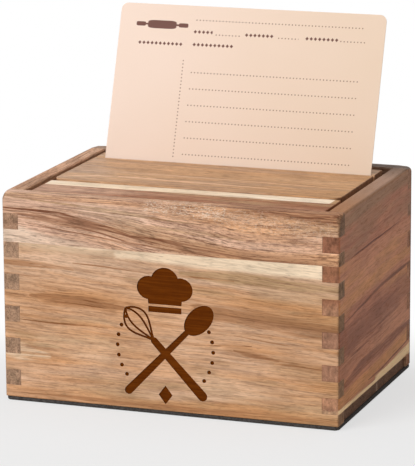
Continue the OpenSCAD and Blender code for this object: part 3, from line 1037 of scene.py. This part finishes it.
# The arcs of dots beside the carving: their radius and their middle's height in mm, how many dots each has,
# a dot's radius in mm and its sides, and the first dot's place and the dots' pitch in degrees
ARC_R, ARC_UP = 22, -6
ARC_DOTS, ARC_DOT_R, ARC_DOT_SIDES = 7, 0.9, 12
ARC_FROM, ARC_PITCH = -36, 12


def ellipse(at, half_w, half_h, turn=0.0, steps=CARVING_STEPS):
    """A closed outline."""
    angles = [2 * math.pi * i / steps for i in range(steps)]
    return [turned((half_w * math.cos(a), half_h * math.sin(a)), turn, at) for a in angles]


def turned(point, turn, at):
    """point turned about the origin and then moved by at."""
    x, z = point
    return (at[0] + x * math.cos(turn) - z * math.sin(turn), at[1] + x * math.sin(turn) + z * math.cos(turn))


def bar(start, end, half_start, half_end, steps=8):
    """A straight bar with round ends, which may taper."""
    turn = math.atan2(end[1] - start[1], end[0] - start[0])
    angles = [math.pi * (i / steps - 0.5) for i in range(steps + 1)]
    far = [turned((half_end * math.cos(a), half_end * math.sin(a)), turn, end) for a in angles]
    near = [turned((-half_start * math.cos(a), -half_start * math.sin(a)), turn, start) for a in angles]
    return far + near


def ribbon(points, half_w):
    """A line of even width along some points."""
    left, right = [], []
    for i, point in enumerate(points):
        before, after = points[max(i - 1, 0)], points[min(i + 1, len(points) - 1)]
        run = Vector((after[0] - before[0], after[1] - before[1])).normalized()
        left.append((point[0] - run.y * half_w, point[1] + run.x * half_w))
        right.append((point[0] + run.y * half_w, point[1] - run.x * half_w))
    return right + left[::-1]


def whisk_wires(foot, turn, length, half_w):
    """The wires of a balloon whisk, from their foot at the handle."""
    wires = []
    steps = CARVING_STEPS // 2
    for side in WIRE_SWELLS:
        wire = []
        for i in range(steps + 1):
            share = i / steps
            swell = math.sin(math.pi * share ** SWELL_LATE) ** SWELL_POINTED
            wire.append(turned((length * share, side * half_w * swell), turn, foot))
        wires.append(ribbon(wire, WIRE_HALF_W))
    return wires


def carving_outlines():
    """A cook's hat over a crossed spoon and whisk, between two arcs of dots."""
    spoon_foot, spoon_head = (-17, -26), (13, 5)
    whisk_foot, whisk_head = (17, -26), (-5, -3)
    lean = math.atan2(spoon_head[1] - spoon_foot[1], spoon_head[0] - spoon_foot[0])
    back = math.atan2(whisk_head[1] - whisk_foot[1], whisk_head[0] - whisk_foot[0])
    outlines = [
        bar(spoon_foot, spoon_head, 1.9, 1.2),
        ellipse((15.5, 7.6), 8.2, 5.2, lean),
        bar(whisk_foot, whisk_head, 2.2, 1.6),
        *whisk_wires(whisk_head, back, 19, 5.4),
        ellipse((-7.2, 20.5), 5.6, 5.2),
        ellipse((0, 23.6), 6.4, 6.2),
        ellipse((7.2, 20.5), 5.6, 5.2),
        [(-7.6, 13.4), (7.6, 13.4), (8.4, 20), (-8.4, 20)],
        [(-7.6, 9.8), (7.6, 9.8), (7.6, 12.4), (-7.6, 12.4)],
        [(0, -31), (3.2, -26.8), (0, -22.6), (-3.2, -26.8)],
    ]
    for side, i in product((-1, 1), range(ARC_DOTS)):
        angle = math.radians(ARC_FROM + ARC_PITCH * i)
        at = (side * ARC_R * math.cos(angle), ARC_UP + ARC_R * math.sin(angle))
        outlines.append(ellipse(at, ARC_DOT_R, ARC_DOT_R, steps=ARC_DOT_SIDES))
    return outlines


def carve(piece, outlines, face_y, depth, material):
    """Sinks closed outlines, in mm about CARVING_AT, into the front face of a piece."""
    work = bmesh.new()
    sunk = depth * MM
    middle_x, middle_z = CARVING_AT
    for outline in outlines:
        placed = [((middle_x + x) * MM, (middle_z + z) * MM) for x, z in outline]
        outer = [work.verts.new((x, face_y - sunk, z)) for x, z in placed]
        inner = [work.verts.new((x, face_y + sunk, z)) for x, z in placed]
        work.faces.new(outer)
        work.faces.new(inner[::-1])
        for i in range(len(outline)):
            work.faces.new([outer[i], outer[i - 1], inner[i - 1], inner[i]])
    bmesh.ops.recalc_face_normals(work, faces=work.faces)
    cutter = piece_from(work, "cutter", material)
    cut = piece.modifiers.new("carve", "BOOLEAN")
    cut.operation, cut.object, cut.solver, cut.use_self = "DIFFERENCE", cutter, "EXACT", True
    cut.material_mode = "TRANSFER"
    carved = bpy.data.meshes.new_from_object(piece.evaluated_get(bpy.context.evaluated_depsgraph_get()))
    piece.modifiers.remove(cut)
    piece.data = carved
    bpy.data.objects.remove(cutter)


def make_carved_board():
    """The lower board of the front, with the carving in it."""
    lower = board("front_lower_board", FRONT_LOWER_WOOD, JOINT_EASE)
    face_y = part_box("front_lower_board")[0].y
    carve(lower, carving_outlines(), face_y, CARVING_DEPTH, burnt_material())
    settle(lower, "box")


def make_plain_boards():
    """The box's other boards."""
    for node, slot, wood, ease in (
        ("front_upper_board", "acacia_front_upper", FRONT_UPPER_WOOD, JOINT_EASE),
        ("back_lower_board", "acacia_back_lower", BACK_LOWER_WOOD, JOINT_EASE),
        ("back_upper_board", "acacia_back_upper", BACK_UPPER_WOOD, JOINT_EASE),
        ("right_lower_board", "acacia_side_lower", RIGHT_LOWER_WOOD, JOINT_EASE),
        ("left_lower_board", "acacia_side_lower", LEFT_LOWER_WOOD, JOINT_EASE),
        ("right_upper_board", "acacia_side_upper", RIGHT_UPPER_WOOD, JOINT_EASE),
        ("left_upper_board", "acacia_side_upper", LEFT_UPPER_WOOD, JOINT_EASE),
        ("base_board", "acacia_base", BASE_WOOD, JOINT_EASE),
        ("rail_front_stave", "acacia_rail", RAIL_FRONT_WOOD, RAIL_EASE),
        ("rail_rear_stave", "acacia_sapwood", RAIL_REAR_WOOD, RAIL_EASE),
    ):
        settle(board(node, wood, ease), "box")


# The dark pad under the walls is a painted contact shadow
def make_shadow_pad():
    settle(finished("base_pad", shadow_pad_material(), PAD_EASE), "box")


def make_lid():
    settle(board("lid_board", LID_WOOD, LID_EASE), "lid")


def dress(node, material):
    """Gives a carried-over node its material."""
    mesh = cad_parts[node].data
    mesh.materials.clear()
    mesh.materials.append(material)


def make_fittings():
    steel = steel_material()
    dress("hinge_pin_left", steel)
    dress("hinge_pin_right", steel)
    dress("recipe_card", card_material())


bpy.context.scene.view_settings.view_transform = "Standard"
make_camera()
make_lamp("key", KEY_AT, KEY_SIZE, KEY_WATTS)
make_lamp("top", TOP_AT, TOP_SIZE, TOP_WATTS)
make_world()
make_floor()
make_carved_board()
make_plain_boards()
make_shadow_pad()
make_lid()
make_fittings()
